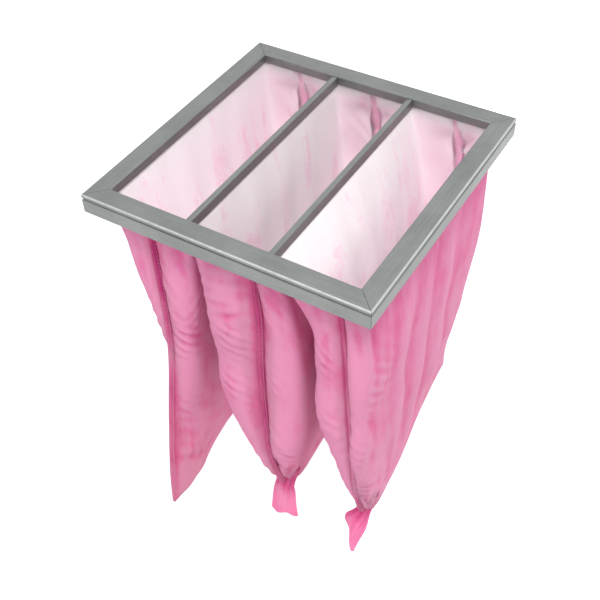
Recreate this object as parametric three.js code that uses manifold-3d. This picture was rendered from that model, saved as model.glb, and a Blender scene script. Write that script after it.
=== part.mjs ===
// A three-pocket bag air filter: a square galvanised header with three cloth pockets hanging from it.
// Air enters through the header's face, which is the plane z = 0, and goes down into the pockets.
// The origin is the middle of that face. The pockets stand side by side along x, and each mouth is
// long in y. Lengths are in millimetres.
import * as THREE from 'three';
import { mergeVertices } from 'three/addons/utils/BufferGeometryUtils.js';
import Module from 'manifold-3d';

const wasm = await Module();
wasm.setup();

// Header frame
const headerWidth = 287;
const headerLength = 287;
const headerDepth = 20;
const faceWidth = 19;
const lipDepth = 9;
const seatWidth = 12;
const seatHem = 2.6;
const railSheet = 0.8;
const grooveInset = 1.2;
const grooveHeight = 2.4;

// Strips that clamp the cloth behind the header's lip, and the bars between the pockets
const stripSheet = 0.8;
const stripDepth = 9;
const barSheet = 0.7;
const barDepth = 10;
const tongueLength = 10;

// Corner keys inside the rails
const keySheet = 1.2;
const keyLeg = 32;
const keyFoot = 8;
const keyRadius = 1.8;

// Pockets
const clothThickness = 1.6;
const pocketDepth = 355;
const seamWidth = 6;
const foldDepth = 2.6;
const foldsPerSide = 5;
const foldDrift = 1.5;

// How the cloth leaves the straight mouth: over this share of the depth its ends become rounded and
// the seam's fin widens. The seam then stands out with a sweep, and sags towards the corners.
const straightShare = 0.25;
const finShare = 0.125;
const seamSweep = 1.4;
const droopDepth = 3;
const droopReach = 5;

// Clearances
const fitGap = 0.3;
const bendRadius = 0.9;
const bendShare = 0.45;
const sharpestMitre = 0.5;

// Mesh fineness
const bendSteps = 3;
const endSteps = 6;
const sideSteps = 16;
const depthSteps = 12;
const tailSides = 12;

// Levels that the sizes above fix
const tongueTop = -railSheet - fitGap;
const tongueBottom = tongueTop - barSheet;
const stripTop = tongueBottom - fitGap;
const shoulderTop = stripTop - stripSheet - fitGap;
const clothTop = tongueBottom - fitGap;
const barBottom = tongueTop - barDepth;

// Distances in from the header's outside that the sizes above fix
const lipBack = faceWidth - railSheet;
const clothInside = lipBack - fitGap;
const notchCut = 4 * railSheet;
const clothOutside = clothInside - clothThickness;
const stripInside = clothOutside - fitGap;
const webInside = railSheet + fitGap;

// The bars hold the hems of two neighbouring pockets, and split the face into three equal mouths
const floorThickness = 3 * clothThickness;
const barWidth = 2 * barSheet + 2 * clothThickness + 3 * fitGap;
const pocketCount = 3;
const mouthPitch = (headerWidth - 2 * faceWidth) / pocketCount;
const mouthHalfLength = headerLength / 2 - clothOutside;

const galvanised = { color: 0x9aa19c, roughness: 0.42, metalness: 0.85 };
const zincStrip = { color: 0x8d928f, roughness: 0.5, metalness: 0.8 };
const pinkCloth = { color: 0xec8cbb, roughness: 0.95, metalness: 0 };

function namedMesh(name, geometry, look) {
  const mesh = new THREE.Mesh(geometry, new THREE.MeshStandardMaterial(look));
  mesh.name = name;
  return mesh;
}

// Joining and cutting

function bare(geometry) {
  const copy = geometry.clone();
  copy.deleteAttribute('normal');
  copy.deleteAttribute('uv');
  return mergeVertices(copy, 1e-4);
}

function toSolid(geometry) {
  const closed = bare(geometry);
  return new wasm.Manifold(new wasm.Mesh({
    numProp: 3,
    vertProperties: new Float32Array(closed.attributes.position.array),
    triVerts: new Uint32Array(closed.index.array),
  }));
}

function toGeometry(solid) {
  const mesh = solid.getMesh();
  const geometry = new THREE.BufferGeometry();
  geometry.setAttribute('position', new THREE.BufferAttribute(mesh.vertProperties, 3));
  geometry.setIndex(new THREE.BufferAttribute(mesh.triVerts, 1));
  geometry.computeVertexNormals();
  return geometry;
}

function joined(...geometries) {
  const solids = geometries.map(toSolid);
  return toGeometry(solids.reduce((whole, next) => whole.add(next)));
}

function cutFrom(geometry, tools) {
  return toGeometry(tools.map(toSolid).reduce((whole, tool) => whole.subtract(tool), toSolid(geometry)));
}

// Bent sheet metal

// The cross-section of a bent strip: a line with rounded corners, thickened to both sides.
function stripShape(corners, thickness, radius = bendRadius) {
  const points = corners.map(([x, y]) => new THREE.Vector2(x, y));
  const path = new THREE.Path().moveTo(points[0].x, points[0].y);
  for (let i = 1; i < points.length - 1; i += 1) {
    const towards = (other) => {
      const reach = Math.min(radius, bendShare * points[i].distanceTo(other));
      return points[i].clone().add(other.clone().sub(points[i]).setLength(reach));
    };
    const before = towards(points[i - 1]);
    const after = towards(points[i + 1]);
    path.lineTo(before.x, before.y);
    path.quadraticCurveTo(points[i].x, points[i].y, after.x, after.y);
  }
  path.lineTo(points.at(-1).x, points.at(-1).y);
  const line = path.getPoints(bendSteps);
  const offsets = line.map((point, i) => {
    const into = point.clone().sub(line[Math.max(i - 1, 0)]).normalize();
    const out = line[Math.min(i + 1, line.length - 1)].clone().sub(point).normalize();
    const along = into.clone().add(out).normalize();
    const stretch = 1 / Math.max(along.dot(i ? into : out), sharpestMitre);
    return new THREE.Vector2(-along.y, along.x).multiplyScalar(0.5 * thickness * stretch);
  });
  const left = line.map((point, i) => point.clone().add(offsets[i]));
  const right = line.map((point, i) => point.clone().sub(offsets[i]));
  return new THREE.Shape([...left, ...right.reverse()]);
}

// A section run along the front side of the header, with its ends mitred at 45 degrees. The
// section's x is the distance in from the header's outside, and its y is the height.
function mitredRun(shape, halfRun, halfAcross) {
  const geometry = new THREE.ExtrudeGeometry(shape, { depth: 2, bevelEnabled: false });
  const position = geometry.attributes.position;
  for (let i = 0; i < position.count; i += 1) {
    const inward = position.getX(i);
    const end = position.getZ(i) > 1 ? 1 : -1;
    const along = end * (halfRun - inward - fitGap / Math.SQRT2);
    position.setXYZ(i, along, inward - halfAcross, position.getY(i));
  }
  geometry.computeVertexNormals();
  return geometry;
}

// Header rails: a face flange with a lip behind which the cloth is clamped, a web with a rolled
// groove, and a seat flange with a hemmed edge, bent from one strip.
function railShape() {
  const web = railSheet / 2;
  const groove = web + grooveInset;
  const shoulder = shoulderTop - railSheet / 2;
  const lip = faceWidth - railSheet / 2;
  const seat = railSheet / 2 - headerDepth;
  return stripShape([
    [lip, -lipDepth],
    [lip, -railSheet / 2],
    [web, -railSheet / 2],
    [web, shoulder],
    [groove, shoulder],
    [groove, shoulder - grooveHeight],
    [web, shoulder - grooveHeight],
    [web, seat],
    [seatWidth, seat],
    [seatWidth, seat + seatHem],
  ], railSheet);
}

// The lips of the front and back rails are notched where a bar passes through them.
function barPlaces() {
  return Array.from({ length: pocketCount - 1 }, (_, i) => (i + 1 - pocketCount / 2) * mouthPitch);
}

function lipNotches() {
  const width = barWidth + 2 * fitGap;
  const height = lipDepth;
  return barPlaces().map((x) => new THREE.BoxGeometry(width, notchCut, height)
    .translate(x, faceWidth - railSheet / 2 - headerLength / 2, -railSheet - height / 2));
}

// Clamping strips: an angle whose edge snaps over the groove's shoulder, and whose leg presses the
// cloth against the back of the lip.
function clampShape() {
  const leg = stripInside - stripSheet / 2;
  const top = stripTop - stripSheet / 2;
  return stripShape([
    [webInside, top],
    [leg, top],
    [leg, stripTop - stripDepth],
  ], stripSheet);
}

const sides = [
  { name: 'front', turn: 0, halfRun: headerWidth / 2, halfAcross: headerLength / 2, notched: true },
  { name: 'right', turn: 1, halfRun: headerLength / 2, halfAcross: headerWidth / 2, notched: false },
  { name: 'back', turn: 2, halfRun: headerWidth / 2, halfAcross: headerLength / 2, notched: true },
  { name: 'left', turn: 3, halfRun: headerLength / 2, halfAcross: headerWidth / 2, notched: false },
];

function headerSide({ name, turn, halfRun, halfAcross, notched }) {
  const side = new THREE.Group();
  side.rotation.z = turn * Math.PI / 2;
  const rail = mitredRun(railShape(), halfRun, halfAcross);
  side.add(namedMesh(`rail_${name}`, notched ? cutFrom(rail, lipNotches()) : rail, galvanised));
  side.add(namedMesh(`clamp_strip_${name}`, mitredRun(clampShape(), halfRun, halfAcross), zincStrip));
  return side;
}

// Corner keys: an angle bent round each corner inside the rails, standing on the seat flange.
function cornerKey() {
  const wall = webInside + keySheet / 2;
  const bottom = railSheet + fitGap - headerDepth;
  const top = shoulderTop - railSheet - grooveHeight - fitGap;
  const wallShape = stripShape([[keyLeg, wall], [wall, wall], [wall, keyLeg]], keySheet, keyRadius);
  const standing = new THREE.ExtrudeGeometry(wallShape, { depth: top - bottom, bevelEnabled: false });
  const foot = webInside + keyFoot;
  const footShape = new THREE.Shape()
    .moveTo(wall, keyLeg)
    .lineTo(wall, webInside + keyRadius)
    .lineTo(webInside + keyRadius, wall)
    .lineTo(keyLeg, wall)
    .lineTo(keyLeg, foot)
    .lineTo(foot, foot)
    .lineTo(foot, keyLeg);
  const lying = new THREE.ExtrudeGeometry(footShape, { depth: keySheet, bevelEnabled: false });
  return joined(standing, lying).translate(0, 0, bottom);
}

function cornerKeys() {
  const corners = [['front_left', 0, -1, -1], ['front_right', 1, 1, -1], ['back_right', 2, 1, 1], ['back_left', 3, -1, 1]];
  return corners.map(([name, turn, x, y]) => {
    const key = namedMesh(`corner_key_${name}`, cornerKey(), zincStrip);
    key.rotation.z = turn * Math.PI / 2;
    key.position.set(x * headerWidth / 2, y * headerLength / 2, 0);
    return key;
  });
}

// Bars between the pockets: a channel crimped over two hems, with a tongue at each end that is held
// between the face flange and the clamping strip.
function pocketBar() {
  const halfWidth = (barWidth - barSheet) / 2;
  const top = -barSheet / 2;
  const halfRun = headerLength / 2 - lipBack;
  const channelShape = stripShape([
    [-halfWidth, -barDepth],
    [-halfWidth, top],
    [halfWidth, top],
    [halfWidth, -barDepth],
  ], barSheet);
  const channel = new THREE.ExtrudeGeometry(channelShape, { depth: 2 * halfRun, bevelEnabled: false })
    .translate(0, 0, -halfRun)
    .rotateX(Math.PI / 2);
  const tongueHalf = halfRun + tongueLength;
  const corner = barWidth / 4;
  const tongueShape = new THREE.Shape()
    .moveTo(-barWidth / 2 + corner, -tongueHalf)
    .lineTo(barWidth / 2 - corner, -tongueHalf)
    .lineTo(barWidth / 2 - barSheet / 2, corner - tongueHalf)
    .lineTo(barWidth / 2 - barSheet / 2, tongueHalf - corner)
    .lineTo(barWidth / 2 - corner, tongueHalf)
    .lineTo(-barWidth / 2 + corner, tongueHalf)
    .lineTo(barSheet / 2 - barWidth / 2, tongueHalf - corner)
    .lineTo(barSheet / 2 - barWidth / 2, corner - tongueHalf);
  const tongue = new THREE.ExtrudeGeometry(tongueShape, { depth: barSheet, bevelEnabled: false })
    .translate(0, 0, -barSheet);
  return joined(channel, tongue);
}

function pocketBars() {
  return barPlaces().map((x, i) => {
    const bar = namedMesh(`pocket_bar_${i + 1}`, pocketBar(), galvanised);
    bar.position.set(x, 0, tongueTop);
    return bar;
  });
}

// Pockets. Each is one cloth folded at the bottom and sewn up at both ends. The forms below are
// shares of the mouth's half width, measured from the mouth's middle, at these shares of the depth.
const levels = [0, 0.14, 0.42, 0.7, 0.9, 1];

const pocketForms = [
  {
    name: 'pocket_left',
    front: {
      left: [-1, -0.56, 0.06, 0.1, 0.14, 0.2],
      seam: [0, 0.12, 0.32, 0.28, 0.22, 0.24],
      right: [1, 0.95, 0.75, 0.5, 0.3, 0.28],
      tuck: [0, 0, 0, 0, 0, 0],
      reach: [0, 2, 14, 32, 44, 50],
      lobe: [0, 5, 6, 4, 1, 0],
      droop: 28,
      corner: 0.4,
    },
    back: {
      left: [-1, -0.95, -0.7, -0.35, -0.05, 0.06],
      seam: [0, 0, 0.02, 0.05, 0.06, 0.08],
      right: [1, 0.95, 0.75, 0.45, 0.18, 0.1],
      tuck: [0, 0, 0, 0, 0, 0],
      reach: [0, 3, 10, 18, 26, 30],
      lobe: [0, 4, 6, 4, 1, 0],
      droop: 16,
      corner: 0.9,
    },
    foldPhase: 0.4,
  },
  {
    name: 'pocket_middle',
    front: {
      left: [-1, -0.72, -0.56, -0.25, 0.45, 0.9],
      seam: [0.5, 0.7, 0.7, 0.84, 0.92, 0.94],
      right: [1, 1.4, 1.6, 1.45, 1.15, 1.0],
      tuck: [0, 0, 0, 2, 8, 12],
      reach: [0, 2, 6, 14, 14, 10],
      lobe: [0, 5, 9, 8, 3, 0],
      droop: -26,
      corner: 0.9,
    },
    back: {
      left: [-1, -0.9, -0.6, -0.2, 0.2, 0.4],
      seam: [0, 0.08, 0.2, 0.32, 0.38, 0.42],
      right: [1, 1.05, 1.0, 0.8, 0.55, 0.46],
      tuck: [0, 0, 0, 0, 0, 0],
      reach: [0, 3, 10, 18, 26, 30],
      lobe: [0, 4, 6, 4, 1, 0],
      droop: 12,
      corner: 0.9,
    },
    foldPhase: 1.7,
    tail: {
      sections: [
        { at: [0, 10, 14], half: [12, 9] },
        { at: [0, 0, -4], half: [11, 5] },
        { at: [0, -3, -18], half: [13, 2.6] },
        { at: [0, -6, -56], half: [16, 2] },
      ],
    },
  },
  {
    name: 'pocket_right',
    front: {
      left: [-1, -0.1, 0.1, 0.52, 0.84, 0.92],
      seam: [0.5, 0.7, 0.88, 1.0, 1.0, 0.95],
      right: [1, 1.08, 1.14, 1.14, 1.06, 1.0],
      tuck: [0, 0, 0, 4, 16, 26],
      reach: [0, 2, 6, 10, 10, 8],
      lobe: [0, 5, 8, 7, 3, 0],
      droop: -18,
      corner: 0.9,
    },
    back: {
      left: [-1, -0.7, -0.35, 0.0, 0.25, 0.38],
      seam: [0.1, 0.25, 0.35, 0.4, 0.42, 0.42],
      right: [1, 0.98, 0.88, 0.72, 0.52, 0.46],
      tuck: [0, 0, 0, 1, 3, 5],
      reach: [0, 3, 6, 6, 5, 4],
      lobe: [0, 4, 6, 4, 1, 0],
      droop: 4,
      corner: 0.9,
    },
    foldPhase: 3.1,
    tail: {
      sections: [
        { at: [0, 12, 12], half: [10, 9] },
        { at: [0, 0, -3], half: [8, 5] },
        { at: [-4, -12, -16], half: [14, 3] },
        { at: [-3, -17, -36], half: [8, 2] },
        { at: [-2, -22, -58], half: [1.5, 1] },
      ],
    },
  },
];

function readings(values) {
  const curve = new THREE.CubicInterpolant(levels, values, 1);
  return (share) => curve.evaluate(share)[0];
}

function endCurves(end) {
  return {
    left: readings(end.left),
    seam: readings(end.seam),
    right: readings(end.right),
    tuck: readings(end.tuck),
    reach: readings(end.reach),
    lobe: readings(end.lobe),
    droop: end.droop,
    corner: end.corner,
  };
}

// The places round one panel, from the front seam's edge to the back seam's edge. rise goes from 0
// at a seam to 1 at the corner of the mouth, and along from 0 at the front to 1 at the back.
function panelStations() {
  const front = Array.from({ length: endSteps + 1 }, (_, i) => ({ along: 0, rise: i / endSteps, fin: 0 }));
  const back = front.map(({ rise }) => ({ along: 1, rise, fin: 0 })).reverse();
  const middle = Array.from({ length: sideSteps - 1 }, (_, i) => ({ along: (i + 1) / sideSteps, rise: 1, fin: 0 }));
  return [{ along: 0, rise: 0, fin: 1 }, ...front, ...middle, ...back, { along: 1, rise: 0, fin: 1 }];
}

// Shallow lengthwise folds, deepest at mid depth and fading out towards the corners.
function foldAt(form, side, along, share) {
  const wave = Math.cos(2 * Math.PI * foldsPerSide * along + form.foldPhase * (side + 2) + foldDrift * share);
  return foldDepth * wave * Math.sin(Math.PI * share) * Math.sin(Math.PI * along);
}

// A point of the pocket's outer or inner face. side is -1 for the left panel and 1 for the right.
function clothPoint(form, mouth, side, station, share, inset) {
  const { along, rise, fin } = station;
  const ends = [form.curves.front, form.curves.back];
  const atEnd = (curve) => ends.map((end) => end[curve](share));
  const blend = (curve) => THREE.MathUtils.lerp(...atEnd(curve), along);
  const least = inset > 0 ? fitGap / 2 : clothThickness;
  const seamX = blend('seam') * mouth.half;
  const edgeX = blend(side < 0 ? 'left' : 'right') * mouth.half;
  const openness = Math.max(side * (edgeX - seamX) - inset, least);
  const bow = THREE.MathUtils.lerp(rise, Math.sin(rise * Math.PI / 2), Math.min(1, share / straightShare));
  const spread = Math.max(openness * bow, least);
  const outward = along < 0.5 ? -1 : 1;
  const reach = blend('reach') + (inset > 0 ? 0 : fin * seamWidth * Math.min(1, share / finShare));
  const lobe = blend('lobe') * Math.sin(Math.PI * rise);
  const [frontTuck, backTuck] = atEnd('tuck');
  const corner = mouthHalfLength - inset;
  const middleY = THREE.MathUtils.lerp(frontTuck - corner, corner - backTuck, along);
  const y = rise < 1 ? middleY + outward * (reach * (1 - rise) ** seamSweep + lobe) : middleY;
  const fold = rise < 1 ? 0 : foldAt(form, side, along, share);
  const nearest = ends[along < 0.5 ? 0 : 1];
  const droop = nearest.droop * THREE.MathUtils.lerp(1, nearest.corner, rise) * share ** droopDepth
    * Math.abs(2 * along - 1) ** droopReach;
  const drop = pocketDepth + barBottom + droop;
  return new THREE.Vector3(mouth.middle + seamX + side * spread + fold, y, barBottom - fitGap - share * drop);
}

function clothRing(form, mouth, share, inset) {
  const stations = panelStations();
  const right = stations.map((station) => clothPoint(form, mouth, 1, station, share, inset));
  const left = stations.map((station) => clothPoint(form, mouth, -1, station, share, inset)).reverse();
  return [...right, ...left];
}

// Rings of points joined into one closed surface. The first and last ring are each sewn shut flat,
// point to opposite point.
function sewnLoft(rings) {
  const count = rings[0].length;
  const position = rings.flat().flatMap((point) => point.toArray());
  const index = [];
  for (let ring = 0; ring < rings.length - 1; ring += 1) {
    for (let i = 0; i < count; i += 1) {
      const a = ring * count + i;
      const b = ring * count + (i + 1) % count;
      index.push(a, b + count, b, a, a + count, b + count);
    }
  }
  for (let i = 0; i < count / 2 - 1; i += 1) {
    const across = count - 1 - i;
    const last = (rings.length - 1) * count;
    index.push(i, across - 1, across, i, i + 1, across - 1);
    index.push(last + i, last + across, last + across - 1, last + i, last + across - 1, last + i + 1);
  }
  const geometry = new THREE.BufferGeometry();
  geometry.setAttribute('position', new THREE.Float32BufferAttribute(position, 3));
  geometry.setIndex(index);
  geometry.computeVertexNormals();
  return geometry;
}

// The gathered corner of a pocket: flattened sections along a short curve, from the neck down.
function tail(sections, origin) {
  const rings = sections.map(({ at, half }) => Array.from({ length: tailSides }, (_, i) => {
    const turn = 2 * Math.PI * (i + 0.5) / tailSides;
    const [x, y, z] = at;
    return new THREE.Vector3(x + half[0] * Math.cos(turn), y + half[1] * Math.sin(turn), z).add(origin);
  }));
  return sewnLoft(rings);
}

function pocket(form, index) {
  const middle = (index - (pocketCount - 1) / 2) * mouthPitch;
  const outer = (headerWidth / 2 - clothOutside);
  const low = index === 0 ? -outer : middle - mouthPitch / 2 + fitGap / 2;
  const high = index === pocketCount - 1 ? outer : middle + mouthPitch / 2 - fitGap / 2;
  const mouth = { middle: (low + high) / 2, half: (high - low) / 2 };
  const shaped = { ...form, curves: { front: endCurves(form.front), back: endCurves(form.back) } };
  const shares = Array.from({ length: depthSteps + 1 }, (_, i) => i / depthSteps);
  const outside = shares.map((share) => clothRing(shaped, mouth, share, 0));
  const floor = 1 - floorThickness / pocketDepth;
  const inside = shares.map((share) => clothRing(shaped, mouth, Math.min(share, floor), clothThickness));
  const raised = (ring) => ring.map((point) => new THREE.Vector3(point.x, point.y, clothTop));
  const shell = sewnLoft([...inside.reverse(), raised(inside.at(-1)), raised(outside[0]), ...outside]);
  if (!form.tail) {
    return namedMesh(form.name, shell, pinkCloth);
  }
  const corner = clothPoint(shaped, mouth, 1, { along: 0, rise: 0, fin: 0 }, 1, 0);
  return namedMesh(form.name, joined(shell, tail(form.tail.sections, corner)), pinkCloth);
}

const filter = new THREE.Group();
filter.add(...sides.map(headerSide));
filter.add(...cornerKeys());
filter.add(...pocketBars());
filter.add(...pocketForms.map(pocket));

export default filter;
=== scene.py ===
# %% [markdown]
# # Dressing a bag air filter
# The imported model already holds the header, its bars and strips, and a plain solid for each pocket.
# In this lesson Blender gives them their looks: zinc-coated sheet metal for the header, and soft
# non-woven cloth for the pockets, which hang limp, crease near their seams and let light through.
# Everything is in metres, with the header's face at z = 0 and the pockets hanging below it.

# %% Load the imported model
import math

import bpy
import numpy as np
from mathutils import Matrix, Vector
from mathutils.bvhtree import BVHTree


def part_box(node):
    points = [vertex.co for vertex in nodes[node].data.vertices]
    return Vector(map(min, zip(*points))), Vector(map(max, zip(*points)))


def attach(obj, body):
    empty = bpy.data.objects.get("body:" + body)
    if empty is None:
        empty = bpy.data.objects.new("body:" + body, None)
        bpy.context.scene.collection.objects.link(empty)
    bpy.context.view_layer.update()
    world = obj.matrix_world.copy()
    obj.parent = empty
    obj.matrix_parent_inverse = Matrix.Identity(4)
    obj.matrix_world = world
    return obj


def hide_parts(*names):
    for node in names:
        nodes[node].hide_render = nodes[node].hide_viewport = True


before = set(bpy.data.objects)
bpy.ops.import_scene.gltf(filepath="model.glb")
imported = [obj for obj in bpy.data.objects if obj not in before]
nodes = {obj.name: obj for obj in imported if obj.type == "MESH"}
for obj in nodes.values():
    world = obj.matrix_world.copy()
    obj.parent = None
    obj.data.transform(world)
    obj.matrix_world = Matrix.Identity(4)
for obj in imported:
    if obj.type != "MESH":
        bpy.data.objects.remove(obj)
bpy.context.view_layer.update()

# %% [markdown]
# The sizes that the cloth must follow come from the frame: the header's outside and the bars' lower
# edge. Only the cloth's own thickness, its seam's width and a small gap are repeated here.

# %% Sizes taken from the frame
MM = 0.001
CLOTH = 1.6 * MM
SEAM_WIDTH = 6 * MM
HEM_GAP = 0.3 * MM

HALF_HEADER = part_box("rail_right")[1][0]
BAR_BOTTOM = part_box("pocket_bar_1")[0][2]
HEM_BOTTOM = BAR_BOTTOM - HEM_GAP
print("half header", round(HALF_HEADER, 4), "hem bottom", round(HEM_BOTTOM, 4))

# %% [markdown]
# ## Shader building blocks
# Both metals and both sides of the cloth share a few effects. Each effect is a node group with named
# inputs and outputs, so a material only places it and sets its own values. These first helpers make a
# group with its sockets, and add a node whose inputs are set or linked in one line.

# %% Helpers: groups, nodes and sockets
def new_group(name, inputs, outputs):
    """An empty node group with float or vector sockets, and its two end nodes."""
    group = bpy.data.node_groups.new(name, "ShaderNodeTree")
    kinds = {"float": "NodeSocketFloat", "vector": "NodeSocketVector"}
    for label, kind, default in inputs:
        socket = group.interface.new_socket(label, in_out="INPUT", socket_type=kinds[kind])
        socket.default_value = default
    for label, kind in outputs:
        group.interface.new_socket(label, in_out="OUTPUT", socket_type=kinds[kind])
    return group, group.nodes.new("NodeGroupInput"), group.nodes.new("NodeGroupOutput")


def feed(tree, socket, value):
    """Links a socket to another one, or sets the value on the socket itself."""
    if isinstance(value, bpy.types.NodeSocket):
        tree.links.new(value, socket)
    else:
        socket.default_value = value


def add(tree, kind, settings=None, **inputs):
    """Adds a node. Inputs go by name with _ for a space, or by number as i0, i1 and so on."""
    node = tree.nodes.new(kind)
    for key, value in (settings or {}).items():
        setattr(node, key, value)
    for key, value in inputs.items():
        by_number = key[0] == "i" and key[1:].isdigit()
        feed(tree, node.inputs[int(key[1:]) if by_number else key.replace("_", " ")], value)
    return node


print("helpers for nodes ready")

# %% [markdown]
# The next helpers cover what nearly every material needs: a little arithmetic, a colour ramp, a mix of
# two colours, a placed group, and a fresh material with its shader.

# %% Helpers: arithmetic, colours and materials
def math_node(tree, operation, *values):
    """A Math node's result."""
    inputs = {f"i{k}": value for k, value in enumerate(values)}
    return add(tree, "ShaderNodeMath", {"operation": operation}, **inputs).outputs[0]


def noise(tree, place, scale, detail, roughness=0.5, distortion=0.0):
    """A noise texture's value at a place."""
    node = add(tree, "ShaderNodeTexNoise", None, Vector=place, Scale=scale, Detail=detail)
    node.inputs["Roughness"].default_value = roughness
    node.inputs["Distortion"].default_value = distortion
    return node.outputs["Fac"]


def ramp(tree, factor, stops):
    """A colour ramp's colour, for stops of (place, colour)."""
    node = add(tree, "ShaderNodeValToRGB", None, Fac=factor)
    elements = node.color_ramp.elements
    elements[0].position, elements[0].color = stops[0][0], (*stops[0][1], 1)
    elements[1].position, elements[1].color = stops[-1][0], (*stops[-1][1], 1)
    for place, colour in stops[1:-1]:
        elements.new(place).color = (*colour, 1)
    return node.outputs["Color"]


def mix_colour(tree, factor, a, b):
    """A colour mix of a and b, which are sockets or plain colours."""
    node = add(tree, "ShaderNodeMix", {"data_type": "RGBA"})
    for socket, value in ((node.inputs[0], factor), (node.inputs[6], a), (node.inputs[7], b)):
        ready = isinstance(value, (float, bpy.types.NodeSocket))
        feed(tree, socket, value if ready else (*value, 1))
    return node.outputs[2]


def mix_shaders(tree, factor, first, second, end):
    """Mixes two shaders into a material's or world's end socket."""
    both = tree.nodes.new("ShaderNodeMixShader")
    for socket, value in zip(both.inputs, (factor, first.outputs[0], second.outputs[0])):
        feed(tree, socket, value)
    tree.links.new(both.outputs[0], end)


def place_group(tree, group, **inputs):
    """An instance of a node group in a material."""
    return add(tree, "ShaderNodeGroup", {"node_tree": group}, **inputs)


def new_material(name):
    """A material with a Principled BSDF, and its tree."""
    material = bpy.data.materials.new(name)
    material.use_nodes = True
    tree = material.node_tree
    return material, tree, tree.nodes["Principled BSDF"]


print("helpers for colours and materials ready")

# %% [markdown]
# **Rolled zinc.** Galvanised strip shows two things at this scale: very fine lines along the way it
# was rolled, and a faint patchwork of zinc crystals, the spangle. The lines are noise stretched along
# the strip, so the group takes a Stretch vector, and each rail's material gives its own direction.

# %% Group: rolled zinc
def rolled_zinc_group():
    """Three values at a point of the metal: its rolling lines, its spangle and its stains."""
    group, given, out = new_group(
        "rolled zinc",
        [("Stretch", "vector", (20.0, 900.0, 900.0)), ("Spangle Size", "float", 160.0)],
        [("Lines", "float"), ("Spangle", "float"), ("Stain", "float")],
    )
    place = add(group, "ShaderNodeTexCoord").outputs["Object"]
    stretched = add(
        group, "ShaderNodeVectorMath", {"operation": "MULTIPLY"},
        i0=place, i1=given.outputs["Stretch"],
    )
    cells = add(
        group, "ShaderNodeTexVoronoi", None,
        Vector=place, Scale=given.outputs["Spangle Size"], Randomness=1.0,
    )
    grey = add(group, "ShaderNodeRGBToBW", None, Color=cells.outputs["Color"])
    group.links.new(noise(group, stretched.outputs[0], 1.0, 4.0, 0.6), out.inputs["Lines"])
    group.links.new(grey.outputs[0], out.inputs["Spangle"])
    group.links.new(noise(group, place, 14.0, 3.0, 0.55), out.inputs["Stain"])
    return group


ROLLED_ZINC = rolled_zinc_group()
print("group made:", ROLLED_ZINC.name)

# %% [markdown]
# ** Painted edge highlight.** Where the strip is bent over the header's outer edge, a bright line is painted into the zinc's colour as the highlight of the rolled edge. The group measures how near a point is to that edge, from its place alone, so the painted highlight stays on the metal whichever way it is looked at. A noise breaks the bright line up into flecks.

# %% Group: painted edge highlight
def edge_highlight_group():
    """How much painted highlight a point gets, from 0 to a little over 1 on the outer edge."""
    group, given, out = new_group(
        "painted edge highlight",
        [("Half Width", "float", 0.1435), ("Band", "float", 0.0016)],
        [("Highlight", "float")],
    )
    place = add(group, "ShaderNodeTexCoord").outputs["Object"]
    split = add(group, "ShaderNodeSeparateXYZ", None, Vector=place)
    across = math_node(
        group, "MAXIMUM",
        math_node(group, "ABSOLUTE", split.outputs["X"]),
        math_node(group, "ABSOLUTE", split.outputs["Y"]),
    )
    inner = math_node(group, "SUBTRACT", given.outputs["Half Width"], given.outputs["Band"])
    side = add(
        group, "ShaderNodeMapRange", {"interpolation_type": "SMOOTHSTEP"},
        Value=across, From_Min=inner, From_Max=given.outputs["Half Width"],
    )
    drop = math_node(group, "MULTIPLY", split.outputs["Z"], -1.0)
    top = add(
        group, "ShaderNodeMapRange", {"interpolation_type": "SMOOTHSTEP"},
        Value=drop, From_Min=given.outputs["Band"], From_Max=0.0,
    )
    speckled = math_node(group, "MULTIPLY_ADD", noise(group, place, 220.0, 3.0), 0.8, 0.45)
    on_edge = math_node(group, "MULTIPLY", side.outputs[0], top.outputs[0])
    group.links.new(math_node(group, "MULTIPLY", on_edge, speckled), out.inputs["Highlight"])
    return group


PAINTED_EDGE_HIGHLIGHT = edge_highlight_group()
print("group made:", PAINTED_EDGE_HIGHLIGHT.name)

# %% [markdown]
# ** Non-woven fibres.** Filter cloth isn't woven: it is a mat of fine threads laid every which way, with a soft cloudy thickness. Four noises do it: clouds for the thickness, a mid-size mottling, short fibres made by warping a fine noise, and long soft streaks that run down the cloth, which are painted shade standing in for the shading of its drape.

# %% Group: cloth fibres
def cloth_fibres_group():
    """The mat's height for a bump, and three values that shift its colour."""
    group, given, out = new_group(
        "cloth fibres",
        [("Fibre Scale", "float", 900.0), ("Cloud Scale", "float", 30.0)],
        [("Height", "float"), ("Clouds", "float"), ("Mottle", "float"), ("Streaks", "float")],
    )
    place = add(group, "ShaderNodeTexCoord").outputs["Object"]
    clouds = noise(group, place, given.outputs["Cloud Scale"], 3.0)
    mottle = noise(group, place, 260.0, 4.0, 0.65)
    fine = noise(group, place, given.outputs["Fibre Scale"], 2.0, distortion=1.4)
    ridges = math_node(group, "ABSOLUTE", math_node(group, "SUBTRACT", fine, 0.5))
    fibres = math_node(group, "SUBTRACT", 1.0, math_node(group, "MULTIPLY", ridges, 6.0))
    weak_fibres = math_node(group, "MULTIPLY", fibres, 0.35)
    height = math_node(group, "MULTIPLY_ADD", mottle, 0.8, weak_fibres)
    # painted drape shade: long streaks stretched down the cloth, which deepen its pink
    hanging = add(
        group, "ShaderNodeVectorMath", {"operation": "MULTIPLY"}, i0=place, i1=(55.0, 55.0, 9.0),
    )
    streaks = noise(group, hanging.outputs[0], 1.0, 3.0, 0.6)
    for label, value in (("Height", height), ("Clouds", clouds), ("Mottle", mottle), ("Streaks", streaks)):
        group.links.new(value, out.inputs[label])
    return group


CLOTH_FIBRES = cloth_fibres_group()
print("group made:", CLOTH_FIBRES.name)
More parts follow.
